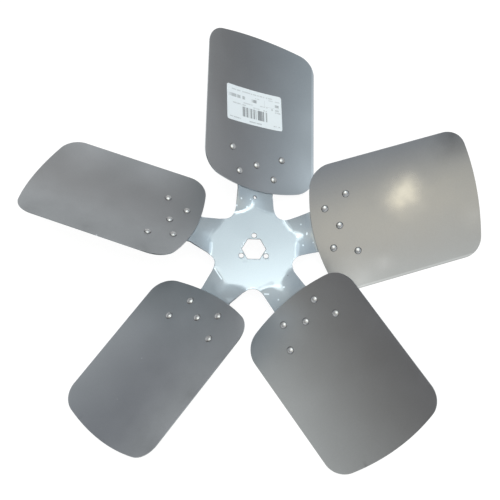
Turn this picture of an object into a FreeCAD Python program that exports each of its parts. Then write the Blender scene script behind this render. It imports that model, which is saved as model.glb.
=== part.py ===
import FreeCAD, Part
import math
import os

# Axial fan impeller: a sheet-metal spider with five twisted arms, a cambered blade
# riveted to the front of each arm, and a paper label on the first blade.
# The origin is the centre of the bolt circle on the hub's front face. +Z is the axis of
# rotation, towards the discharge side, and +Y runs along the first arm.

Vector = FreeCAD.Vector

# The whole impeller
inch = 25.4
arm_count = 5
tip_radius = 12 * inch
pitch = math.radians(33)

# Sheet
spider_thickness = 2.0
blade_thickness = 1.6
camber_radius = 16 * inch            # concave front face of every blade

# Hub plate
hex_across_flats = 27.0
hex_corner_radius = 1.6
bolt_circle_radius = 1.4375 * inch / 2
bolt_count = 3
bolt_hole_diameter = 6.4

# Arms, in the flat blank: x across the arm, y outwards from the axis of rotation
bend_start = 49.0                    # the hub stays flat up to this straight line across each arm
seat_start = 79.5                    # from here outwards the arm has the full pitch and camber
bend_share = 0.1                     # bend at the flat hub's edge, as a share of the twisted length
run_out_share = 0.1                  # where the twist runs out into the seat
notch_bottom_radius = 52.8           # between two arms
notch_fillet_radius = 14.1
arm_half_width_at_seat = 27.1
flare_angle = math.radians(26)       # of the hidden paddle's sides, from the arm's centre line
flare_radius = 30.0
paddle_end = 142.0
paddle_corner_radius = 14.0
index_hole_y = 70.6
index_hole_diameter = 4.4

# Blades, in the flat blank: x from the rivets' centre line, y outwards from the axis
blade_width = 172.0
blade_shift = 1.5                    # the blank sits this much towards the trailing side
tip_arc_radius = 274.9
root_arc_radius = 252.7
root_lowest = 79.75
tip_corner_radius = 1.125 * inch
root_corner_radius = 1.25 * inch

# Rivets: places in the blade's blank, and the form of one
rivet_places = [(-39.0, 131.6), (39.0, 131.6), (0.0, 115.5), (-26.9, 101.1), (26.9, 101.1)]
rivet_shank_diameter = 4.8
rivet_head_diameter = 9.6
rivet_head_height = 2.6
rivet_tail_diameter = 7.4
rivet_tail_height = 1.9

# Label
label_size = (3.5 * inch, 2 * inch)
label_centre = (-6.5, 197.0)
label_turn = 3.4                     # degrees
label_corner_radius = 3.0
label_thickness = 0.2

# Worked out from the driving dimensions
arm_angle = 360.0 / arm_count
half_step = math.pi / arm_count
fillet_distance = notch_bottom_radius + notch_fillet_radius
fillet_x = fillet_distance * math.sin(half_step)
fillet_y = fillet_distance * math.cos(half_step)
root_half_width = fillet_x - notch_fillet_radius
arm_growth = (arm_half_width_at_seat - root_half_width) / (seat_start - fillet_y)
middle_radius = camber_radius + blade_thickness + spider_thickness / 2
joining_tolerance = 0.001
punch_length = 60.0                  # goes right through the sheet anywhere


def ease(share):
    """Share of the full twist: nought at the flat hub's edge, one at the seat."""
    steepest = 1 / (1 - bend_share / 2 - run_out_share / 2)
    if share < bend_share:
        return steepest * share ** 2 / (2 * bend_share)
    if share < 1 - run_out_share:
        return steepest * (share - bend_share / 2)
    return 1 - steepest * (1 - share) ** 2 / (2 * run_out_share)


def half_width(y):
    """Half the width of an arm's blank, from the notch out to the seat."""
    if y < fillet_y:
        return fillet_x - math.sqrt(notch_fillet_radius ** 2 - (fillet_y - y) ** 2)
    return root_half_width + arm_growth * (y - fillet_y)


def seat_point(chord, y, offset):
    """A point of the pitched and cambered seat, offset from its middle layer."""
    rise = middle_radius - math.sqrt((middle_radius - offset) ** 2 - chord ** 2)
    across = Vector(math.cos(pitch), 0, -math.sin(pitch))
    normal = Vector(math.sin(pitch), 0, math.cos(pitch))
    return Vector(0, y, -spider_thickness / 2) + across * chord + normal * rise


def formed_point(x, y):
    """Where a point of the blank's middle layer ends up between the hub and the seat.

    The twisted sheet is ruled: every fibre along the arm runs straight from bend to seat.
    """
    formed = ease(max(0.0, (y - bend_start) / (seat_start - bend_start)))
    flat = Vector(x, y, -spider_thickness / 2)
    seated = seat_point(middle_radius * math.sin(x / middle_radius), y, 0)
    return flat * (1 - formed) + seated * formed


def skin_point(share, column, side):
    """A point of the front face (side 1) or the back face (side -1) of the first arm."""
    y = bend_start + share * (seat_start - bend_start)
    x = column * half_width(y)
    offset = side * spider_thickness / 2
    if share == 0:
        return Vector(x, y, offset - spider_thickness / 2)
    if share == 1:
        return seat_point(middle_radius * math.sin(x / middle_radius), y, offset)
    step = 0.02
    along_x = formed_point(x + step, y) - formed_point(x - step, y)
    along_y = formed_point(x, y + step) - formed_point(x, y - step)
    return formed_point(x, y) + along_x.cross(along_y).normalize() * offset


def turned(shape, index):
    """The shape carried round to another arm."""
    copy = shape.copy()
    copy.rotate(Vector(0, 0, 0), Vector(0, 0, 1), -arm_angle * index)
    return copy


def in_place(shape):
    """From a blade's own frame, which has its normal up, to the first arm."""
    copy = shape.copy()
    copy.rotate(Vector(0, 0, 0), Vector(0, 1, 0), math.degrees(pitch))
    copy.translate(Vector(0, 0, -spider_thickness / 2))
    return copy


def twisted_part():
    """The first arm between the flat hub and the seat, as a closed solid."""
    shares = [0, 0.033, 0.067, 0.1, 0.15, 0.25, 0.5, 0.75, 0.9, 0.95, 1]
    columns = [-1, -0.5, 0, 0.5, 1]
    skins = []
    borders = []
    for side in (1, -1):
        surface = Part.BSplineSurface()
        surface.interpolate([[skin_point(share, c, side) for c in columns] for share in shares])
        first_u, last_u, first_v, last_v = surface.bounds()
        skins.append(surface.toShape())
        border = [surface.vIso(first_v), surface.vIso(last_v),
                  surface.uIso(first_u), surface.uIso(last_u)]
        borders.append([curve.toShape() for curve in border])
    walls = [Part.makeRuledSurface(front, back) for front, back in zip(*borders)]
    shell = Part.makeShell(skins + walls)
    shell.sewShape()
    solid = Part.makeSolid(shell)
    if solid.Volume < 0:
        solid.reverse()
    return solid


def paddle():
    """The cambered seat that the blade covers."""
    half_seat = middle_radius * math.sin(arm_half_width_at_seat / middle_radius)
    start_angle = math.atan(arm_growth)
    flare_centre = Vector(half_seat + flare_radius * math.cos(start_angle),
                          seat_start - flare_radius * math.sin(start_angle), 0)

    def on_flare(angle):
        return flare_centre + Vector(-math.cos(angle), math.sin(angle), 0) * flare_radius

    flare_end = on_flare(flare_angle)
    outwards = Vector(math.sin(flare_angle), math.cos(flare_angle), 0)
    corner = flare_end + outwards * ((paddle_end - flare_end.y) / outwards.y)
    set_back = paddle_corner_radius * math.tan(math.pi / 4 + flare_angle / 2)
    on_side = corner - outwards * set_back
    on_end = corner - Vector(set_back, 0, 0)
    round_centre = on_end - Vector(0, paddle_corner_radius, 0)
    round_middle = round_centre + (corner - round_centre).normalize() * paddle_corner_radius
    half = [Part.Arc(on_flare(start_angle), on_flare((start_angle + flare_angle) / 2), flare_end),
            Part.LineSegment(flare_end, on_side),
            Part.Arc(on_side, round_middle, on_end)]
    right = [curve.toShape() for curve in half]
    left = [edge.mirror(Vector(0, 0, 0), Vector(1, 0, 0)) for edge in right]
    start = Part.makeLine(Vector(-half_seat, seat_start, 0), Vector(half_seat, seat_start, 0))
    end = Part.makeLine(on_end, Vector(-on_end.x, on_end.y, 0))
    outline = Part.Wire(Part.__sortEdges__(right + left + [start, end]))
    sheet = rolled_sheet(camber_radius + blade_thickness, spider_thickness)
    return in_place(blanked(sheet, outline))


def hub_plate():
    """Flat, with a bend line at each arm and a round notch between two arms."""
    left = skin_point(0, -1, 1)
    right = skin_point(0, 1, 1)
    bend = Part.makeLine(left, right)
    bottom = Vector(math.sin(half_step), math.cos(half_step), 0) * notch_bottom_radius
    next_arm = FreeCAD.Rotation(Vector(0, 0, 1), -arm_angle)
    notch = Part.Arc(right, bottom, next_arm.multVec(left)).toShape()
    outline = []
    for index in range(arm_count):
        outline += [turned(bend, index), turned(notch, index)]
    return Part.Face(Part.Wire(outline)).extrude(Vector(0, 0, -spider_thickness))


def spider_blank():
    """The formed sheet, before its holes."""
    arm = [twisted_part(), paddle()]
    arms = [turned(solid, index) for solid in arm for index in range(arm_count)]
    return hub_plate().fuse(arms, joining_tolerance)


def hexagon_cutter():
    corner_radius = hex_across_flats / 2 / math.cos(math.pi / 6)
    corners = [Vector(corner_radius * math.cos(math.radians(60 * i)),
                      corner_radius * math.sin(math.radians(60 * i)), -punch_length / 2)
               for i in range(7)]
    prism = Part.Face(Part.makePolygon(corners)).extrude(Vector(0, 0, punch_length))
    upright = [edge for edge in prism.Edges if abs(edge.tangentAt(edge.FirstParameter).z) > 0.9]
    return prism.makeFillet(hex_corner_radius, upright)


def sheet_normal(x):
    """Foot and direction of the sheet's normal on a blade's front face, in its own frame."""
    angle = x / camber_radius
    foot_x = camber_radius * math.sin(angle)
    foot_z = middle_radius - camber_radius * math.cos(angle)
    return foot_x, foot_z, Vector(-math.sin(angle), 0, math.cos(angle))


def round_punch(diameter, place, normal):
    start = place - normal * (punch_length / 2)
    return Part.makeCylinder(diameter / 2, punch_length, start, normal)


def rivet_hole_cutters():
    cutters = []
    for x, y in rivet_places:
        foot_x, foot_z, normal = sheet_normal(x)
        punch = round_punch(rivet_shank_diameter, Vector(foot_x, y, foot_z), normal)
        cutters.append(in_place(punch))
    return cutters


def index_hole_cutter():
    share = (index_hole_y - bend_start) / (seat_start - bend_start)
    front = skin_point(share, 0, 1)
    normal = (front - skin_point(share, 0, -1)).normalize()
    return round_punch(index_hole_diameter, front, normal)


def spider():
    cutters = [hexagon_cutter(), index_hole_cutter()]
    for index in range(bolt_count):
        angle = math.radians(90 + 360 / bolt_count * index)
        place = Vector(math.cos(angle), math.sin(angle), 0) * bolt_circle_radius
        cutters.append(round_punch(bolt_hole_diameter, place, Vector(0, 0, 1)))
    for cutter in rivet_hole_cutters():
        cutters += [turned(cutter, index) for index in range(arm_count)]
    return spider_blank().cut(cutters)


def fillet_on_line(line_x, side, arc_centre, arc_radius, radius):
    """Tangent points and middle of a round corner between an upright edge and an arc."""
    centre_x = line_x - side * radius
    drop = math.sqrt((arc_radius - radius) ** 2 - (centre_x - arc_centre.x) ** 2)
    upwards = 1 if arc_centre.y < 200 else -1
    centre = Vector(centre_x, arc_centre.y + upwards * drop, 0)
    on_line = Vector(line_x, centre.y, 0)
    on_arc = arc_centre + (centre - arc_centre).normalize() * arc_radius
    bisector = ((on_line - centre) + (on_arc - centre)).normalize()
    return on_line, centre + bisector * radius, on_arc


def blade_outline():
    """The blade seen square on: straight parallel edges, bowed tip and root, round corners."""
    left = camber_radius * math.sin((blade_shift - blade_width / 2) / camber_radius)
    right = camber_radius * math.sin((blade_shift + blade_width / 2) / camber_radius)
    tip_centre = Vector(blade_shift, tip_radius - tip_arc_radius, 0)
    root_centre = Vector(blade_shift, root_lowest + root_arc_radius, 0)
    tip = (tip_centre, tip_arc_radius, tip_corner_radius)
    root = (root_centre, root_arc_radius, root_corner_radius)
    tip_left = fillet_on_line(left, -1, *tip)
    tip_right = fillet_on_line(right, 1, *tip)
    root_left = fillet_on_line(left, -1, *root)
    root_right = fillet_on_line(right, 1, *root)
    edges = [Part.makeLine(root_left[0], tip_left[0]),
             Part.Arc(*tip_left).toShape(),
             Part.Arc(tip_left[2], Vector(blade_shift, tip_radius, 0), tip_right[2]).toShape(),
             Part.Arc(*tip_right).toShape(),
             Part.makeLine(tip_right[0], root_right[0]),
             Part.Arc(*root_right).toShape(),
             Part.Arc(root_right[2], Vector(blade_shift, root_lowest, 0), root_left[2]).toShape(),
             Part.Arc(*root_left).toShape()]
    return Part.Wire(Part.__sortEdges__(edges))


def rolled_sheet(front_radius, thickness):
    """A strip of sheet rolled to the camber, long enough for any blank."""
    half_angle = 0.75 * blade_width / camber_radius
    centre = Vector(0, 0, middle_radius)

    def on_circle(radius, angle):
        return centre + Vector(radius * math.sin(angle), 0, -radius * math.cos(angle))

    front = [on_circle(front_radius, a) for a in (-half_angle, 0, half_angle)]
    back = [on_circle(front_radius + thickness, a) for a in (-half_angle, 0, half_angle)]
    wire = Part.Wire([Part.Arc(*front).toShape(), Part.makeLine(front[2], back[2]),
                      Part.Arc(*reversed(back)).toShape(), Part.makeLine(back[0], front[0])])
    return Part.Face(wire).extrude(Vector(0, 1.1 * tip_radius, 0))


def blanked(sheet, outline):
    """What a straight punch leaves of a rolled sheet."""
    punch = Part.Face(outline).extrude(Vector(0, 0, punch_length))
    punch.translate(Vector(0, 0, -punch_length / 2))
    return sheet.common(punch)


def blade():
    sheet = rolled_sheet(camber_radius, blade_thickness)
    return in_place(blanked(sheet, blade_outline())).cut(rivet_hole_cutters())


def rivet():
    """One rivet on the Z axis, with the blade's front face at Z = 0."""
    grip = blade_thickness + spider_thickness
    shank = rivet_shank_diameter / 2
    head = rivet_head_diameter / 2
    tail = rivet_tail_diameter / 2
    seat = head ** 2 / (2 * camber_radius)          # the flat head spans the hollow of the blade
    rise = rivet_head_height - seat
    dome_radius = (head ** 2 + rise ** 2) / (2 * rise)
    half_angle = math.asin(head / dome_radius) / 2
    top = Vector(0, 0, rivet_head_height)
    middle = top + Vector(math.sin(half_angle), 0, math.cos(half_angle) - 1) * dome_radius
    rim = Vector(head, 0, seat)
    end = -grip - rivet_tail_height
    corners = [rim, Vector(shank, 0, seat), Vector(shank, 0, -grip), Vector(tail, 0, -grip),
               Vector(tail, 0, end), Vector(0, 0, end), top]
    edges = [Part.makeLine(a, b) for a, b in zip(corners, corners[1:])]
    profile = Part.Face(Part.Wire([Part.Arc(top, middle, rim).toShape()] + edges))
    return profile.revolve(Vector(0, 0, 0), Vector(0, 0, 1), 360)


def rivet_set():
    """The rivets of the first arm."""
    rivets = []
    for x, y in rivet_places:
        foot_x, foot_z, _ = sheet_normal(x)
        one = rivet()
        one.rotate(Vector(0, 0, 0), Vector(0, 1, 0), -math.degrees(x / camber_radius))
        one.translate(Vector(foot_x, y, foot_z))
        rivets.append(in_place(one))
    return rivets


def label():
    width, height = label_size
    box = Part.makeBox(width, height, 1, Vector(-width / 2, -height / 2, 0))
    upright = [edge for edge in box.Edges if abs(edge.tangentAt(edge.FirstParameter).z) > 0.9]
    rounded = box.makeFillet(label_corner_radius, upright)
    outline = min(rounded.Faces, key=lambda face: face.CenterOfMass.z).OuterWire
    outline.rotate(Vector(0, 0, 0), Vector(0, 0, 1), label_turn)
    outline.translate(Vector(label_centre[0], label_centre[1], 0))
    paper = rolled_sheet(camber_radius - label_thickness, label_thickness)
    return in_place(blanked(paper, outline))


def build():
    one_blade = blade()
    one_set = rivet_set()
    rivets = []
    parts = {"spider": spider(), "label": label()}
    for index in range(arm_count):
        parts[f"blade_{index + 1}"] = turned(one_blade, index)
        rivets += [turned(one, index) for one in one_set]
    parts["rivets"] = Part.makeCompound(rivets)
    return parts


os.makedirs("parts", exist_ok=True)
for name, shape in build().items():
    shape.exportStep(f"parts/{name}.step")
    print(name, "solids", len(shape.Solids), "valid", shape.isValid(), "volume", round(shape.Volume, 1))
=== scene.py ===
import math
import bmesh
import bpy
from mathutils import Matrix, Vector


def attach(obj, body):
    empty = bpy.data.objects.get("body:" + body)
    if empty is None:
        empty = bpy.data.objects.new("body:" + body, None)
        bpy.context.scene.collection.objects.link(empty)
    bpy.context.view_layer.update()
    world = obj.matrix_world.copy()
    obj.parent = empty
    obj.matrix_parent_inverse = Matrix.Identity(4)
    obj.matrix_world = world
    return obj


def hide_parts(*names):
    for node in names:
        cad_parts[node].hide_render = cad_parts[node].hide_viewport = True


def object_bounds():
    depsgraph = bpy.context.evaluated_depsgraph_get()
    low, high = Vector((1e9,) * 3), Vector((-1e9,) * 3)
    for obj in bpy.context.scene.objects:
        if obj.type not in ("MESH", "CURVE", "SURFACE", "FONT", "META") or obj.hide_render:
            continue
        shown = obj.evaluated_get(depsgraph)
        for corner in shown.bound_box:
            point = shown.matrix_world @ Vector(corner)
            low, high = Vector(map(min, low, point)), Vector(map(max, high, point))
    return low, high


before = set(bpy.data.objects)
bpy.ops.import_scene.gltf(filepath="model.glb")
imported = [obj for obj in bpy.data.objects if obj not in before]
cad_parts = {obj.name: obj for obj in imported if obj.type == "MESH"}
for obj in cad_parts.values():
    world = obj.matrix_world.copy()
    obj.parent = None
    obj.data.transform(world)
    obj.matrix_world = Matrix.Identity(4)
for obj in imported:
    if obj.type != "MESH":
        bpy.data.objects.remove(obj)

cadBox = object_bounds()
mm = 0.001
inch = 25.4 * mm
scene = bpy.context.scene
blades = sorted(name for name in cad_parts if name.startswith("blade_"))
armCount = len(blades)
armStep = 2 * math.pi / armCount

# What the formed sheets share with the frame
sheet = {
    "pitch": math.radians(33),
    "camber": 16 * inch,          # radius of every blade's hollow face
    "blade": 1.6 * mm,            # thickness
    "spider": 2.0 * mm,
}
# The radius of the paddles' middle layer
sheet["middle"] = sheet["camber"] + sheet["blade"] + sheet["spider"] / 2


def armTurn(index):
    return Matrix.Rotation(-armStep * index, 4, "Z")


def bladeSeat(index):             # from a blade's own frame, normal up, to its place on its arm
    drop = Matrix.Translation((0, 0, -sheet["spider"] / 2))
    return armTurn(index) @ drop @ Matrix.Rotation(sheet["pitch"], 4, "Y")


# Shader maths: a socket that adds its own Math nodes
class Shade:
    def __init__(self, tree, socket):
        self.tree = tree
        self.socket = socket

    def out(self, key):
        return Shade(self.tree, self.socket.node.outputs[key])

    def maths(self, operation, *others):
        node = self.tree.nodes.new("ShaderNodeMath")
        node.operation = operation
        for place, value in enumerate((self,) + others):
            plug(self.tree, node.inputs[place], value)
        return Shade(self.tree, node.outputs[0])

    def __add__(self, other):
        return self.maths("ADD", other)

    def __radd__(self, other):
        return self.maths("ADD", other)

    def __sub__(self, other):
        return self.maths("SUBTRACT", other)

    def __rsub__(self, other):
        return self.maths("MULTIPLY_ADD", -1.0, other)

    def __mul__(self, other):
        return self.maths("MULTIPLY", other)

    def __rmul__(self, other):
        return self.maths("MULTIPLY", other)

    def __truediv__(self, other):
        return self.maths("DIVIDE", other)

    def __pow__(self, other):
        return self.maths("POWER", other)

    def __abs__(self):
        return self.maths("ABSOLUTE")

    def __gt__(self, other):
        return self.maths("GREATER_THAN", other)

    def __lt__(self, other):
        return self.maths("LESS_THAN", other)

    def clamped(self):
        node = self.tree.nodes.new("ShaderNodeClamp")
        plug(self.tree, node.inputs[0], self)
        return Shade(self.tree, node.outputs[0])


def plug(tree, socket, value):
    if isinstance(value, Shade):
        tree.links.new(value.socket, socket)
    else:
        socket.default_value = value


class Shader:
    def __init__(self, tree):
        self.tree = tree
        tree.nodes.clear()

    def node(self, kind, settings=None, inputs=None):
        made = self.tree.nodes.new(kind)
        for key, value in (settings or {}).items():
            setattr(made, key, value)
        for key, value in (inputs or {}).items():
            plug(self.tree, made.inputs[key], value)
        shown = [socket for socket in made.outputs if socket.enabled]
        return Shade(self.tree, shown[0]) if shown else made

    def mix(self, factor, a, b, blend="MIX"):
        settings = {"data_type": "RGBA", "blend_type": blend}
        a = a if isinstance(a, Shade) else (*a, 1)
        b = b if isinstance(b, Shade) else (*b, 1)
        return self.node("ShaderNodeMix", settings, {0: factor, 6: a, 7: b})

    def objectPlace(self):
        return self.node("ShaderNodeTexCoord").out("Object")

    def turned(self, vector, location=(0, 0, 0), rotation=(0, 0, 0), scale=(1, 1, 1)):
        return self.node("ShaderNodeMapping", {"vector_type": "POINT"},
                         {"Vector": vector, "Location": location, "Rotation": rotation, "Scale": scale})

    def noise(self, vector, scale, detail, roughness):
        return self.node("ShaderNodeTexNoise", {"noise_dimensions": "3D"},
                         {"Vector": vector, "Scale": scale, "Detail": detail, "Roughness": roughness})

    def splitPlace(self, vector):
        split = self.node("ShaderNodeSeparateXYZ", {}, {0: vector})
        return split.out("X"), split.out("Y"), split.out("Z")

    def vectors(self, operation, *values, **named):
        inputs = {**dict(enumerate(values)), **named}
        return self.node("ShaderNodeVectorMath", {"operation": operation}, inputs)

    def stroke(self, place, start, end, halfWidth, crispness):     # 1 along a line in mm, 0 beside it
        start, end = Vector((*start, 0)) * mm, Vector((*end, 0)) * mm
        offset = self.vectors("SUBTRACT", self.vectors("MULTIPLY", place, (1, 1, 0)), start)
        length = (end - start).length_squared
        if length > 0:
            share = self.vectors("DOT_PRODUCT", offset, (end - start) / length).clamped()
            offset = self.vectors("SUBTRACT", offset, self.vectors("SCALE", end - start, Scale=share))
        away = self.vectors("LENGTH", offset) / (halfWidth * mm)
        return (crispness * (1 - away)).clamped()


def newMaterial(name):
    material = bpy.data.materials.new(name)
    material.use_nodes = True
    return material, Shader(material.node_tree)


def dress(piece, material):
    piece.data.materials.clear()
    piece.data.materials.append(material)


# Meshes
meshing = {
    "sharpAngle": math.radians(25),       # an edge past this shades sharp
    "rimAngle": math.radians(60),         # an edge past this is a sheet's rim and is rounded
    "rimSegments": 2,
    "cutDistance": 1e-7,                  # a point this close to a cut counts as on it
}


def newPiece(name, bm, sharpAngle=meshing["sharpAngle"]):
    mesh = bpy.data.meshes.new(name)
    bm.to_mesh(mesh)
    bm.free()
    piece = bpy.data.objects.new(name, mesh)
    scene.collection.objects.link(piece)
    shadeSmooth(mesh, sharpAngle)
    return piece


def shadeSmooth(mesh, sharpAngle):
    mesh.shade_smooth()
    mesh.set_sharp_from_angle(angle=sharpAngle)


def settle(piece):                          # the modifiers' result becomes the piece's own mesh
    bpy.context.view_layer.update()
    shown = piece.evaluated_get(bpy.context.evaluated_depsgraph_get())
    mesh = bpy.data.meshes.new_from_object(shown)
    piece.modifiers.clear()
    piece.data = mesh
    shadeSmooth(mesh, meshing["sharpAngle"])


def everything(bm):
    return bm.verts[:] + bm.edges[:] + bm.faces[:]


def cutAcross(bm, places, direction):
    for place in places:
        bmesh.ops.bisect_plane(bm, geom=everything(bm), dist=meshing["cutDistance"],
                               plane_co=direction * place, plane_no=direction)


def steps(low, high, gap):                  # even places between the ends, no further apart than the gap
    count = math.ceil((high - low) / gap)
    return [low + (high - low) * i / count for i in range(1, count)]


# Blades: the frame's own sheets, cut fine enough to shade as one smooth curve
bladeMesh = {
    "stripGap": 5 * mm, "crossGap": 12 * mm, "rimBevel": 0.3 * mm,
    "mergeGap": 0.002 * mm,
    "faceGap": 0.07 * mm,                 # a point this close to the true curve is set on it
}


def bladePiece(index):
    name = blades[index]
    bm = bmesh.new()
    bm.from_mesh(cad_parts[name].data)
    bmesh.ops.remove_doubles(bm, verts=bm.verts, dist=bladeMesh["mergeGap"])
    bm.transform(bladeSeat(index).inverted())
    rim = [edge for edge in bm.edges if edge.is_manifold and edge.calc_face_angle() > meshing["rimAngle"]]
    bmesh.ops.bevel(bm, geom=rim, offset=bladeMesh["rimBevel"], segments=meshing["rimSegments"], profile=0.5,
                    affect="EDGES", clamp_overlap=True, material=-1)
    xs = [vert.co.x for vert in bm.verts]
    ys = [vert.co.y for vert in bm.verts]
    cutAcross(bm, steps(min(xs), max(xs), bladeMesh["stripGap"]), Vector((1, 0, 0)))
    cutAcross(bm, steps(min(ys), max(ys), bladeMesh["crossGap"]), Vector((0, 1, 0)))
    roll = Vector((0, 0, sheet["middle"]))
    for vert in bm.verts:
        spoke = vert.co - roll
        spoke.y = 0
        for radius in (sheet["camber"], sheet["camber"] + sheet["blade"]):
            if abs(spoke.length - radius) < bladeMesh["faceGap"]:
                vert.co += spoke.normalized() * (radius - spoke.length)
    bm.transform(bladeSeat(index))
    piece = newPiece(name + "_sheet", bm)
    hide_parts(name)
    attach(piece, "root")
    return piece


# Spider: cut flat with its holes, then formed
spiderBlank = {
    # corners on each arm's right side, and how far back from each its rounding starts
    "notchCorner": (25.22 * mm, 34.71 * mm), "notchOffset": 20.87 * mm, "notchSegments": 16,
    "rootCorner": (25.36 * mm, 56.0 * mm),              # too flat an angle to need rounding
    "flareCorner": (27.53 * mm, 85.25 * mm), "flareOffset": 5.77 * mm, "flareSegments": 6,
    "paddleCorner": (55.2 * mm, 142 * mm), "paddleOffset": 25.0 * mm, "paddleSegments": 12,
    "hexAcrossFlats": 27 * mm, "hexOffset": 0.92 * mm, "hexSegments": 4,
    # the bolt circle and every hole are given as a radius
    "boltCircle": 1.4375 * inch / 2, "boltHole": 3.2 * mm, "boltCount": 3,
    "indexPlace": 70.6 * mm, "indexHole": 2.2 * mm, "holeSegments": 32,
    "gridGap": 2.6 * mm, "gridReach": 1.05,             # the grid's cuts run a little past the paddles
    "mergeGap": 0.08 * mm, "sliverGap": 0.04 * mm,
}
spiderForm = {
    "bendStart": 49.0 * mm, "seatStart": 79.5 * mm,     # straight lines across each arm
    "bendShare": 0.1, "runOutShare": 0.1, "rimBevel": 0.3 * mm,
    "lobe": 10.0 * mm, "lobeWidth": 25.2 * mm,          # the flat hub runs out further on the centre line
    "cutNormal": 0.7, "cutEdgeShade": 0.45,                  # a face turned further from Z is a cut edge, darkened with painted shade
}


def easedForm(share):                      # 0 on the flat hub to 1 on the seat, without a kink at either end
    bend, runOut = spiderForm["bendShare"], spiderForm["runOutShare"]
    steepest = 1 / (1 - bend / 2 - runOut / 2)
    if share <= 0:
        return 0
    if share < bend:
        return steepest * share ** 2 / (2 * bend)
    if share < 1 - runOut:
        return steepest * (share - bend / 2)
    return 1 - steepest * max(0, 1 - share) ** 2 / (2 * runOut)


def formedPlace(x, y):                     # middle layer of the first arm, from its place on the blank
    start, end = spiderForm["bendStart"], spiderForm["seatStart"]
    start += spiderForm["lobe"] * max(0, 1 - abs(x) / spiderForm["lobeWidth"]) ** 2
    flat = Vector((x, y, -sheet["spider"] / 2))
    roll = x / sheet["middle"]
    across = Vector((math.cos(sheet["pitch"]), 0, -math.sin(sheet["pitch"])))
    normal = Vector((math.sin(sheet["pitch"]), 0, math.cos(sheet["pitch"])))
    seated = Vector((0, y, -sheet["spider"] / 2)) + sheet["middle"] * (
        math.sin(roll) * across + (1 - math.cos(roll)) * normal)
    return flat.lerp(seated, easedForm((y - start) / (end - start)))


def armOf(place):
    return round(math.atan2(place.x, place.y) / armStep) % armCount


def roundedCorners(bm, corners, offset, segments):
    bmesh.ops.bevel(bm, geom=corners, offset=offset, segments=segments, profile=0.5,
                    affect="VERTICES", clamp_overlap=False, material=-1)


def spiderHoles():                         # middle and radius of each round hole in the blank
    holes = [(Vector((0, spiderBlank["indexPlace"], 0)), spiderBlank["indexHole"])]
    for number in range(spiderBlank["boltCount"]):
        spoke = Matrix.Rotation(2 * math.pi / spiderBlank["boltCount"] * number, 4, "Z")
        holes.append((spoke @ Vector((0, spiderBlank["boltCircle"], 0)), spiderBlank["boltHole"]))
    return holes


def spiderOutline(bm):
    corners = {"notch": [], "root": [], "flare": [], "paddle": []}
    outline = []
    for index in range(armCount):
        turn = armTurn(index)
        right = []
        for kind in corners:
            x, y = spiderBlank[kind + "Corner"]
            right.append((kind, turn @ Vector((x, y, 0)), turn @ Vector((-x, y, 0))))
        for kind, _, left in right[1:]:        # the notch on its left comes with the arm before it
            vert = bm.verts.new(left)
            corners[kind].append(vert)
            outline.append(vert)
        for kind, place, _ in reversed(right):
            vert = bm.verts.new(place)
            corners[kind].append(vert)
            outline.append(vert)
    bm.faces.new(outline)
    for kind in ("notch", "flare", "paddle"):
        roundedCorners(bm, corners[kind], spiderBlank[kind + "Offset"], spiderBlank[kind + "Segments"])


def spiderPiece():
    bm = bmesh.new()
    spiderOutline(bm)
    hexRadius = spiderBlank["hexAcrossFlats"] / 2 / math.cos(math.pi / 6)
    hexTurn = Matrix.Rotation(math.pi / 6, 4, "Z")
    hexagon = bmesh.ops.create_circle(bm, segments=6, radius=hexRadius, matrix=hexTurn)["verts"]
    roundedCorners(bm, hexagon, spiderBlank["hexOffset"], spiderBlank["hexSegments"])
    for place, radius in spiderHoles():
        bmesh.ops.create_circle(bm, segments=spiderBlank["holeSegments"], radius=radius,
                                matrix=Matrix.Translation(place))
    bmesh.ops.delete(bm, geom=bm.faces[:], context="FACES_ONLY")
    bmesh.ops.triangle_fill(bm, use_beauty=True, use_dissolve=False, edges=bm.edges[:])
    reach = spiderBlank["paddleCorner"][1] * spiderBlank["gridReach"]
    cutAcross(bm, steps(-reach, reach, spiderBlank["gridGap"]), Vector((1, 0, 0)))
    cutAcross(bm, steps(-reach, reach, spiderBlank["gridGap"]), Vector((0, 1, 0)))
    bmesh.ops.remove_doubles(bm, verts=bm.verts, dist=spiderBlank["mergeGap"])
    bmesh.ops.dissolve_degenerate(bm, edges=bm.edges[:], dist=spiderBlank["sliverGap"])
    for face in bm.faces:
        if face.normal.z < 0:
            face.normal_flip()
    for vert in bm.verts:
        index = armOf(vert.co)
        flat = armTurn(index).inverted() @ vert.co
        vert.co = armTurn(index) @ formedPlace(flat.x, flat.y)
    piece = newPiece("spider_sheet", bm)
    wall = piece.modifiers.new("thickness", "SOLIDIFY")
    wall.thickness = sheet["spider"]
    wall.offset = 0
    wall.use_even_offset = True
    rim = piece.modifiers.new("rim", "BEVEL")
    rim.width = spiderForm["rimBevel"]
    rim.segments = meshing["rimSegments"]
    rim.limit_method = "ANGLE"
    rim.angle_limit = meshing["rimAngle"]
    settle(piece)
    cut = piece.data.attributes.new("cutEdge", "FLOAT", "FACE")
    for face in piece.data.polygons:
        cut.data[face.index].value = 1 if abs(face.normal.z) < spiderForm["cutNormal"] else 0
    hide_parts("spider")
    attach(piece, "root")
    return piece


# Rivets: turned in one piece and set through both sheets
rivet = {
    # in mm on a blade before it is cambered
    "places": [(-39.0, 131.6), (39.0, 131.6), (0.0, 115.5), (-26.9, 101.1), (26.9, 101.1)],
    "head": 4.8 * mm, "rise": 2.6 * mm, "shank": 2.4 * mm,
    "seat": 0.03 * mm,                    # from the hollow face's lowest line to the head's flat underside
    "tail": 3.7 * mm, "tailHeight": 1.9 * mm, "tailChamfer": 0.35 * mm,
    "domeSteps": 10, "turnSteps": 36, "mergeGap": 0.001 * mm, "sharpAngle": math.radians(40),
    "rimFall": 1.6, "rimShade": 0.85,               # how fast the painted shade at the head's foot fades, and how dark it is
}


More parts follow.
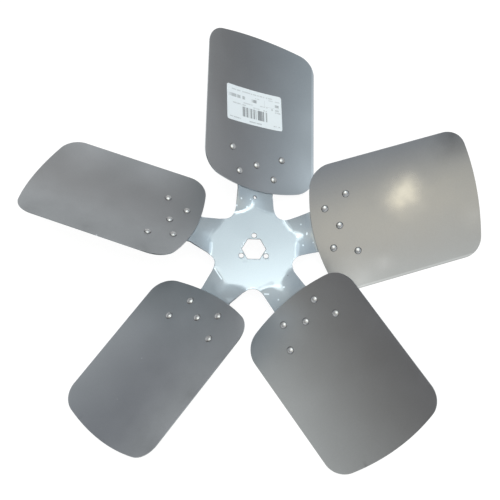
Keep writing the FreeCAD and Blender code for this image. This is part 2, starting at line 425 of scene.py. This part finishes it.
def rivetProfile():
    seat = rivet["seat"]
    rise = rivet["rise"] - seat
    radius = (rivet["head"] ** 2 + rise ** 2) / (2 * rise)
    reach = math.asin(rivet["head"] / radius)
    points = []
    for step in range(rivet["domeSteps"] + 1):
        angle = reach * step / rivet["domeSteps"]
        points.append((radius * math.sin(angle), rivet["rise"] - radius * (1 - math.cos(angle))))
    grip = -(sheet["blade"] + sheet["spider"])
    end = grip - rivet["tailHeight"]
    chamfer = rivet["tailChamfer"]
    points += [(rivet["shank"], seat), (rivet["shank"], grip), (rivet["tail"], grip),
               (rivet["tail"], end + chamfer), (rivet["tail"] - chamfer, end), (0, end)]
    return points


def oneRivet():
    bm = bmesh.new()
    verts = [bm.verts.new((r, 0, z)) for r, z in rivetProfile()]
    edges = [bm.edges.new(pair) for pair in zip(verts, verts[1:])]
    bmesh.ops.spin(bm, geom=verts + edges, cent=(0, 0, 0), axis=(0, 0, 1), dvec=(0, 0, 0),
                   angle=2 * math.pi, steps=rivet["turnSteps"], use_merge=True)
    bmesh.ops.remove_doubles(bm, verts=bm.verts, dist=rivet["mergeGap"])
    bmesh.ops.recalc_face_normals(bm, faces=bm.faces)
    rim = bm.verts.layers.float.new("headRim")          # 0 on the crown, 1 where the head meets the sheet
    for vert in bm.verts:
        vert[rim] = 1 - min(1, max(0, vert.co.z / rivet["rise"]) * rivet["rimFall"])
    mesh = bpy.data.meshes.new("rivet")
    bm.to_mesh(mesh)
    bm.free()
    return mesh


def rivetPiece():
    pattern = oneRivet()
    bm = bmesh.new()
    for index in range(armCount):
        for x, y in rivet["places"]:
            angle = x * mm / sheet["camber"]
            foot = Vector((sheet["camber"] * math.sin(angle), y * mm,
                           sheet["middle"] - sheet["camber"] * math.cos(angle)))
            place = bladeSeat(index) @ Matrix.Translation(foot) @ Matrix.Rotation(-angle, 4, "Y")
            known = len(bm.verts)
            bm.from_mesh(pattern)
            bm.verts.ensure_lookup_table()
            bmesh.ops.transform(bm, matrix=place, verts=bm.verts[known:])
    piece = newPiece("rivet_set", bm, rivet["sharpAngle"])
    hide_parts("rivets")
    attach(piece, "root")
    return piece


# Mill-finish sheet
metal = {
    "blade": {"tone": (0.372, 0.395, 0.412), "roughness": 0.33, "metallic": 1.0},
    "spider": {"tone": (0.395, 0.46, 0.51), "roughness": 0.16, "metallic": 0.3},
    "rivet": {"tone": (0.56, 0.57, 0.57), "roughness": 0.40, "metallic": 1.0},
}

millFinish = {
    "plainTone": 0.805,
    # noise scale, detail and roughness, then its share of the tone
    "patterns": {"blotch": (22, 4, 0.55, 0.07), "cloud": (7, 2, 0.5, 0.06),
                 "grain": (1, 3, 0.6, 0.06), "speck": (620, 2, 0.7, 0.13)},
    "grainStretch": (120, 2200, 120),              # fine along the blade, long across it
    "blotchRoughness": 0.10, "grainRoughness": 0.05,
    "bumpStrength": 0.25, "bumpDepth": 0.02 * mm, "bumpGrain": 0.5, "bumpSpeck": 0.5,
}


def sheetGrain(shader, place):                     # faint rolling lines across the blade, clouds and specks
    tone = millFinish["plainTone"]
    grains = {}
    for name, (*noise, share) in millFinish["patterns"].items():
        spread = shader.turned(place, scale=millFinish["grainStretch"]) if name == "grain" else place
        grains[name] = shader.noise(spread, *noise)
        tone = tone + share * grains[name]
    return tone, grains


def finishSheet(shader, look, tone, grains, polish=0.0):
    grey = shader.node("ShaderNodeCombineColor", {}, {0: tone, 1: tone, 2: tone})
    colour = shader.mix(1.0, look["tone"], grey, "MULTIPLY")
    roughness = look["roughness"] + millFinish["blotchRoughness"] * (grains["blotch"] - 0.5)
    roughness = roughness + millFinish["grainRoughness"] * (grains["grain"] - 0.5) - polish
    height = millFinish["bumpGrain"] * grains["grain"] + millFinish["bumpSpeck"] * grains["speck"]
    bump = shader.node("ShaderNodeBump", {}, {
        "Strength": millFinish["bumpStrength"], "Distance": millFinish["bumpDepth"], "Height": height})
    surface = shader.node("ShaderNodeBsdfPrincipled", {}, {
        "Base Color": colour, "Metallic": look["metallic"], "Roughness": roughness, "Normal": bump})
    shader.node("ShaderNodeOutputMaterial", {}, {"Surface": surface})


# Painted highlights, glints and shade on each blade, and one polished spot, in mm in its own frame:
# across, along, half width, change of tone or of roughness. A fade is painted shading: the tone near the
# root and near the tip.
bladePaintedLightAndPolish = [
    {"paintedLightFade": (1.10, 0.85), "paintedLightPatches": [(80, 112, 56, 0.24), (82, 200, 40, 0.10), (16, 84, 50, 0.16)],
     "paintedSpots": [(-85.6, 124, 1.6, 1.0), (-84.6, 116, 1.3, 0.9)], "edgeHighlight": 0.35},
    {"paintedLightFade": (1.03, 0.98), "paintedLightPatches": [(-19, 207, 44, 0.26), (66, 162, 20, 0.16), (38, 292, 26, 0.10),
                                      (78, 122, 48, 0.26), (-74, 285, 46, -0.38), (52, 84, 14, -0.28)],
     "paintedSpots": [], "polished": (-19, 208, 46, 0.18), "edgeHighlight": 0.25},
    {"paintedLightFade": (1.10, 1.0), "paintedLightPatches": [(80, 106, 44, 0.20), (30, 96, 46, 0.22), (60, 200, 60, 0.06)],
     "paintedSpots": [(-86.0, 180.7, 1.8, 0.6)], "edgeHighlight": 0.0},
    {"paintedLightFade": (1.20, 1.10), "paintedLightPatches": [(80, 96, 24, -0.26), (-80, 140, 64, -0.22), (-80, 200, 72, -0.42),
                                      (-80, 280, 76, -0.42), (20, 110, 60, 0.12), (50, 160, 60, 0.08)],
     "paintedSpots": [(-85.5, 181.8, 1.8, 0.8), (87.3, 161, 1.4, -0.5), (30, 195.7, 1.0, 0.5),
               (19, 253.8, 0.9, 0.4)], "edgeHighlight": 0.0},
    {"paintedLightFade": (1.04, 1.24), "paintedLightPatches": [(-76, 120, 90, -0.38), (-76, 200, 96, -0.44), (-76, 280, 96, -0.5),
                                      (80, 170, 56, 0.16), (76, 260, 60, 0.26)],
     "paintedSpots": [(-84.0, 182.3, 1.6, 0.8)], "edgeHighlight": 0.0},
]
lightAndPolishShape = {
    "fadeStart": 100 * mm, "fadeLength": 180 * mm,
    "wanderNoise": (45, 2, 0.5), "wander": 20 * mm,     # the painted patches' edges wander by up to this
    "cloud": (1.0, 1.6), "polished": (1.2, 2.0),        # how crisp, and the power that softens it
    "markCrispness": 2.0,
    "edgeHighlight": ((85.3, 98), (85.3, 288), 1.3),         # painted highlight down one side: from, to, half width
}


def bladeMaterial(index):
    lightAndPolish = bladePaintedLightAndPolish[index]
    material, shader = newMaterial(f"bladeSheet{index + 1}")
    place = shader.turned(shader.objectPlace(), rotation=(0, 0, armStep * index))
    place = shader.turned(place, rotation=(0, -sheet["pitch"], 0))
    tone, grains = sheetGrain(shader, place)
    _, along, _ = shader.splitPlace(place)
    # painted shading that changes from the root to the tip
    root, tip = lightAndPolish["paintedLightFade"]
    paintedLightFade = ((along - lightAndPolishShape["fadeStart"]) / lightAndPolishShape["fadeLength"]).clamped()
    tone = tone * (root + (tip - root) * paintedLightFade)
    wander = shader.noise(place, *lightAndPolishShape["wanderNoise"]).out("Color")
    cloudy = shader.vectors("ADD", place, shader.vectors("SCALE", wander, Scale=lightAndPolishShape["wander"]))
    drift = lightAndPolishShape["wander"] / mm / 2                # the wandering adds this many mm on average

    def spot(kind, x, y, halfWidth, change):
        middle = (x + drift, y + drift)
        crispness, power = lightAndPolishShape[kind]
        return change * shader.stroke(cloudy, middle, middle, halfWidth, crispness) ** power

    # painted highlights and painted shade in patches
    for cloud in lightAndPolish["paintedLightPatches"]:
        tone = tone + spot("cloud", *cloud)
    # painted glints on nicks and dings, and one painted dark spot
    for x, y, halfWidth, change in lightAndPolish["paintedSpots"]:
        tone = tone + change * shader.stroke(place, (x, y), (x, y), halfWidth, lightAndPolishShape["markCrispness"])
    # painted highlight along one edge
    if lightAndPolish["edgeHighlight"]:
        line = shader.stroke(place, *lightAndPolishShape["edgeHighlight"], lightAndPolishShape["markCrispness"])
        tone = tone + lightAndPolish["edgeHighlight"] * line
    polish = spot("polished", *lightAndPolish["polished"]) if "polished" in lightAndPolish else 0.0
    finishSheet(shader, metal["blade"], tone, grains, polish)
    return material


# Painted highlights on each arm's bends, painted glints on its dings, and painted shade, in mm in that arm's
# frame: from, to, half width, change of tone
armPaintedLight = [
    [(-17.5, 66.5, -17.5, 66.5, 1.3, 1.1), (-23.4, 57.6, -23.4, 57.6, 1.5, 1.1),
     (-10, 57, -10, 57, 1.3, 0.9), (-5.5, 67.2, -5.5, 67.2, 1.2, 0.8),
     (-25, 48, -13, 51, 3.0, 0.15), (-4, 59.7, -3, 65.6, 1.3, 0.5),
     (3, 56.1, 13, 52.1, 1.0, 0.1), (13, 52.1, 25, 48, 1.2, 0.1), (-12.6, -17.5, -9, -17, 2.2, -0.08)],
    [(-12.9, 67.2, -12.9, 67.2, 1.3, 0.8), (-0.9, 71.9, 0.6, 71.2, 1.2, 1.1),
     (11.5, 76.7, 11.5, 76.7, 1.1, 0.8), (12.6, 62.5, 12.6, 62.5, 1.4, 1.1),
     (0.5, 58.5, 0.5, 58.5, 1.4, 1.1), (-24.5, 49, -12, 52.5, 4.0, 0.35), (10, 55.5, 24, 50.5, 3.8, 0.4)],
    [(12, 71.9, 12, 71.9, 1.3, 0.9), (-2.3, 63.6, -2.3, 63.6, 1.5, 1.1), (22.5, 56.5, 18.5, 59.4, 1.1, 1.0),
     (-15.3, 53.7, -15.3, 53.7, 0.9, -0.5), (8, 51, 24, 49, 4.5, -0.2)],
    [(8.2, 56.8, 24.1, 51, 1.0, 1.3)],
    [(-24.2, 50.5, -11, 54, 2.6, 0.4), (-8.5, 59.7, 8.4, 58.2, 1.5, 0.08)],
]
holeRimShade = {"width": 0.9 * mm, "darkening": 0.8}    # painted shade on the edge round the hexagon and each hole


def spiderMaterial():
    material, shader = newMaterial("spiderSheet")
    place = shader.objectPlace()
    tone, grains = sheetGrain(shader, place)
    # painted highlights, glints and shade on the arms
    for index, marks in enumerate(armPaintedLight):
        for x, y, endX, endY, halfWidth, change in marks:
            start, end = armTurn(index) @ Vector((x, y, 0)), armTurn(index) @ Vector((endX, endY, 0))
            mark = shader.stroke(place, start[:2], end[:2], halfWidth, lightAndPolishShape["markCrispness"])
            tone = tone + change * mark
    x, y, _ = shader.splitPlace(place)
    flats = abs(y)                                 # half across the flats of the hexagon through a point
    for side in (-1, 1):
        flats = flats.maths("MAXIMUM", abs(x * math.cos(math.pi / 6) + y * (side * math.sin(math.pi / 6))))
    gap = abs(flats - spiderBlank["hexAcrossFlats"] / 2)
    flat = shader.vectors("MULTIPLY", place, (1, 1, 0))
    for centre, radius in spiderHoles():
        gap = gap.maths("MINIMUM", abs(shader.vectors("DISTANCE", flat, centre) - radius))
    # painted shade round the hexagon and the holes
    rim = (1 - gap / holeRimShade["width"]).clamped()
    tone = tone * (1 - holeRimShade["darkening"] * rim)
    # painted shade on the cut edges
    cut = shader.node("ShaderNodeAttribute", {"attribute_name": "cutEdge"}).out("Fac")
    tone = tone * (1 - spiderForm["cutEdgeShade"] * cut)
    finishSheet(shader, metal["spider"], tone, grains)
    return material


def rivetMaterial():
    material, shader = newMaterial("rivetMetal")
    tone, grains = sheetGrain(shader, shader.objectPlace())
    rim = shader.node("ShaderNodeAttribute", {"attribute_name": "headRim"}).out("Fac")
    # painted shade round the foot of each head
    finishSheet(shader, metal["rivet"], tone * (1 - rivet["rimShade"] * rim), grains)
    return material


# Label: plain paper with a meaningless print
labelPaper = {
    "centre": (-6.5, 197.0), "turn": math.radians(3.4),
    "paper": (0.74, 0.80, 0.84), "ink": (0.10, 0.11, 0.12),
    # lines of print in mm from the middle: across, up, half width, half height, darkness
    "lines": [
        (-3, 19.5, 33, 0.9, 0.4), (-28, 10.8, 13.5, 2.3, 0.7), (0.8, 9.8, 4.0, 2.2, 0.95),
        (6.4, 14.4, 4.0, 0.7, 0.4), (33, 16.4, 9, 0.8, 0.35), (36, 9.9, 4.0, 2.0, 0.75),
        (-24, 0.3, 11, 0.9, 0.45), (-9, 3.6, 8, 0.8, 0.4), (16, 5.0, 7, 0.8, 0.4), (4, 0.0, 6, 0.8, 0.4),
        (18, -0.4, 3, 0.9, 0.5), (34, 3.6, 6, 1.2, 0.55), (38, 0.2, 4.5, 1.0, 0.5),
        (-31, -20.4, 9.5, 0.9, 0.5), (2, -21.4, 10, 0.9, 0.55), (36, -20.0, 5, 0.8, 0.5),
    ],
    "rules": [(17.5, 10.0, 0.18, 5.0), (30, 6.2, 12.5, 0.18)], "ruleDarkness": 0.4,
    # size in mm of the cells that are dark or pale at random, and the share of them left out
    "letterCell": (1.1, 40), "letterGaps": 0.22, "dotCell": (0.4, 0.7), "dots": (0.55, 0.45),
    "bars": (1.6, -9.3, 20.3, 7.0), "barCell": (0.85, 80), "barGaps": 0.3, "barTones": (0.15, 0.95),
    "inkShare": 0.85,
    "fibreNoise": (700, 3, 0.6), "fibreTone": (0.6, 0.62, 0.64), "fibreShare": 0.06,
    "bumpStrength": 0.1, "bumpDepth": 0.01 * mm, "roughness": 0.55, "specular": 0.35,
}


def labelMaterial():
    material, shader = newMaterial("labelPaper")
    pitch = sheet["pitch"]
    across, along = labelPaper["centre"]
    drop = sheet["spider"] / 2
    place = shader.turned(shader.objectPlace(), rotation=(0, -pitch, 0),
                          location=(-across * mm - drop * math.sin(pitch), -along * mm, 0))
    place = shader.turned(place, rotation=(0, 0, -labelPaper["turn"]))
    x, y, _ = shader.splitPlace(place)
    x, y = x * (1 / mm), y * (1 / mm)

    def inside(centreX, centreY, halfWidth, halfHeight):
        return (abs(x - centreX) / halfWidth).maths("MAXIMUM", abs(y - centreY) / halfHeight) < 1.0

    def randomCells(pitchX, pitchY, seed):
        cell = shader.node("ShaderNodeCombineXYZ", {}, {
            0: (x / pitchX).maths("FLOOR"), 1: (y / pitchY).maths("FLOOR"), 2: seed})
        noise = shader.node("ShaderNodeTexWhiteNoise", {"noise_dimensions": "3D"}, {"Vector": cell})
        return noise.out("Value")

    lightest, spread = labelPaper["dots"]
    letters = randomCells(*labelPaper["letterCell"], seed=1.0) > labelPaper["letterGaps"]
    letters = letters * (lightest + spread * randomCells(*labelPaper["dotCell"], seed=2.0))
    lightest, spread = labelPaper["barTones"]
    bar = randomCells(*labelPaper["barCell"], seed=3.0)
    ink = inside(*labelPaper["bars"]) * (bar > labelPaper["barGaps"]) * (lightest + spread * bar)
    for *area, darkness in labelPaper["lines"]:
        ink = ink.maths("MAXIMUM", inside(*area) * letters * darkness)
    for area in labelPaper["rules"]:
        ink = ink.maths("MAXIMUM", inside(*area) * labelPaper["ruleDarkness"])
    fibre = shader.noise(shader.objectPlace(), *labelPaper["fibreNoise"])
    paper = shader.mix(labelPaper["fibreShare"] * fibre, labelPaper["paper"], labelPaper["fibreTone"])
    colour = shader.mix(ink * labelPaper["inkShare"], paper, labelPaper["ink"])
    bump = shader.node("ShaderNodeBump", {}, {
        "Strength": labelPaper["bumpStrength"], "Distance": labelPaper["bumpDepth"], "Height": fibre})
    surface = shader.node("ShaderNodeBsdfPrincipled", {}, {
        "Base Color": colour, "Roughness": labelPaper["roughness"], "Normal": bump,
        "Specular IOR Level": labelPaper["specular"]})
    shader.node("ShaderNodeOutputMaterial", {}, {"Surface": surface})
    return material


# Floor, light and camera
studio = {
    "floorSize": 90.0, "floorGap": 0.3 * mm,       # half its side, and how far under the lowest point
    "floorTone": 0.8,                              # for the light that it throws back on the part
    "floorShade": 0.16, "floorGlow": 0.92,         # for the camera and for reflections
    "horizon": (0.30, 0.34, 0.42), "rise": (0.85, 0.80, 0.67),     # the sky brightens as height squared
    # soft lamps: azimuth, elevation, angle of full light, angle where it ends, light added or taken away
    "lamps": {
        "overhead": (38, 80, 11.6, 15.4, (2.6, 2.7, 2.6)),
        "overheadLeft": (135, 86, 13.6, 16.0, (2.0, 2.0, 1.85)),
        "window": (35, 60, 0, 45, (0.43, 0.56, 0.62)),
        "warmLamp": (-51, 37, 5, 14, (1.05, 0.90, 0.60)),
        "warmGlow": (-50, 48, 0, 30, (0.30, 0.18, 0.05)),
        "rightWall": (28, 0, 0, 40, (0.06, -0.02, -0.12)),
        "topWall": (85, 5, 0, 50, (0.14, 0.08, 0.0)),
        "leftWall": (125, 3, 0, 50, (0.0, -0.05, -0.12)),
        "darkBack": (-150, 20, 0, 60, (-0.12, -0.18, -0.26)),
    },
}


def direction(azimuth, elevation):
    a, e = math.radians(azimuth), math.radians(elevation)
    return Vector((math.cos(a) * math.cos(e), math.sin(a) * math.cos(e), math.sin(e)))


def makeWorld():
    world = bpy.data.worlds.new("studio")
    scene.world = world
    world.use_nodes = True
    shader = Shader(world.node_tree)
    ray = shader.node("ShaderNodeTexCoord").out("Generated")
    _, _, height = shader.splitPlace(ray)
    squared = height * height
    heights = shader.node("ShaderNodeCombineXYZ", {}, {0: squared, 1: squared, 2: squared})
    colour = shader.vectors("MULTIPLY_ADD", heights, studio["rise"], studio["horizon"])
    for azimuth, elevation, full, end, light in studio["lamps"].values():
        facing = shader.vectors("DOT_PRODUCT", ray, direction(azimuth, elevation))
        inner, edge = math.cos(math.radians(full)), math.cos(math.radians(end))
        glow = ((facing - edge) / (inner - edge)).clamped()
        colour = shader.vectors("ADD", colour, shader.vectors("SCALE", light, Scale=glow * glow))
    back = shader.node("ShaderNodeBackground", {}, {"Color": colour, "Strength": 1.0})
    shader.node("ShaderNodeOutputWorld", {}, {"Surface": back})


def makeFloor():
    bm = bmesh.new()
    bmesh.ops.create_grid(bm, x_segments=1, y_segments=1, size=studio["floorSize"])
    bmesh.ops.translate(bm, vec=(0, 0, cadBox[0].z - studio["floorGap"]), verts=bm.verts)
    floor = newPiece("floor", bm)
    material, shader = newMaterial("paleFloor")
    path = shader.node("ShaderNodeLightPath")
    seen = path.out("Is Camera Ray") + path.out("Is Glossy Ray") + path.out("Is Transmission Ray")
    plain = shader.node("ShaderNodeBsdfDiffuse", {}, {"Color": (*[studio["floorTone"]] * 3, 1)})
    faint = shader.node("ShaderNodeBsdfDiffuse", {}, {"Color": (*[studio["floorShade"]] * 3, 1)})
    glow = shader.node("ShaderNodeEmission", {}, {"Color": (1, 1, 1, 1), "Strength": studio["floorGlow"]})
    white = shader.node("ShaderNodeAddShader", {}, {0: faint, 1: glow})
    above = shader.node("ShaderNodeMixShader", {}, {0: seen.clamped(), 1: plain, 2: white})
    shader.node("ShaderNodeOutputMaterial", {}, {"Surface": above})
    floor.data.materials.append(material)


lookout = {
    "place": (-9.2 * mm, -378.5 * mm, 1151.0 * mm),
    "angles": (18.117, -0.636, 1.271),     # degrees about X, Y and Z
    "lens": 68.1, "sensor": 36.0,
    "near": 0.01, "far": 100,
}


def makeCamera():
    data = bpy.data.cameras.new("photoView")
    data.lens = lookout["lens"]
    data.sensor_width = lookout["sensor"]
    data.clip_start = lookout["near"]
    data.clip_end = lookout["far"]
    camera = bpy.data.objects.new("photoView", data)
    scene.collection.objects.link(camera)
    camera.location = lookout["place"]
    camera.rotation_euler = [math.radians(angle) for angle in lookout["angles"]]
    scene.camera = camera


print("blades")
for number in range(armCount):
    dress(bladePiece(number), bladeMaterial(number))
print("spider")
dress(spiderPiece(), spiderMaterial())
print("rivets")
dress(rivetPiece(), rivetMaterial())
print("label")
dress(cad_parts["label"], labelMaterial())
print("studio")
makeWorld()
makeFloor()
makeCamera()
scene.view_settings.view_transform = "Standard"
